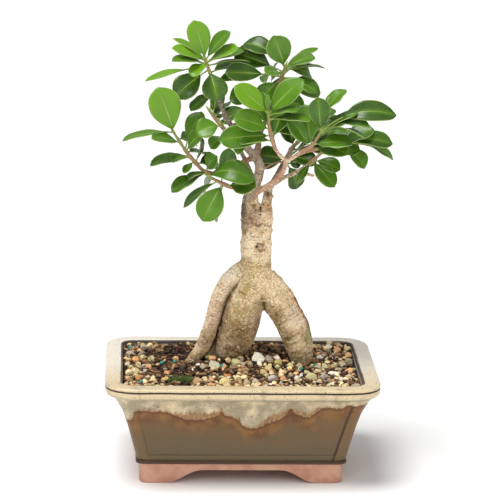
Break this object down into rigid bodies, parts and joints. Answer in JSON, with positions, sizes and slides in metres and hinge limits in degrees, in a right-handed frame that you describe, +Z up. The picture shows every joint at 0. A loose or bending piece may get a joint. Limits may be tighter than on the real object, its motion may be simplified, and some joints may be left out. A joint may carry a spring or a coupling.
{
  "type": "ginseng ficus",
  "caption": "Ginseng ficus bonsai standing on thick aerial roots under glossy green leaves, in a rectangular glazed stoneware pot on a footed skirt.",
  "frame": {"origin": "middle of the part's own extent in plan, on the surface that the pot's feet stand on", "axes": "+X to the right along the pot's long front, +Y to the back, +Z up along the trunk"},
  "size_m": [0.2172, 0.1546, 0.3428],
  "materials": {
    "glazed_stoneware": "satin",
    "black_plastic": "matte",
    "potting_grit": "matte",
    "ficus_bark": "matte",
    "ficus_leaf": "satin"
  },
  "bodies": {
    "root": {"pot": "glazed_stoneware", "drain_mesh_left": "black_plastic", "drain_mesh_right": "black_plastic", "soil": "potting_grit", "trunk": "ficus_bark", "shoot_upper_left": "ficus_leaf", "shoot_top_centre": "ficus_leaf", "shoot_front_centre": "ficus_leaf", "shoot_right": "ficus_leaf", "shoot_far_right": "ficus_leaf", "shoot_lower_right": "ficus_leaf", "shoot_left": "ficus_leaf", "shoot_lower_left": "ficus_leaf", "shoot_centre_left": "ficus_leaf", "shoot_inner_right": "ficus_leaf", "shoot_back_left": "ficus_leaf", "shoot_back_right": "ficus_leaf", "shoot_back_centre": "ficus_leaf"}
  },
  "joints": []
}
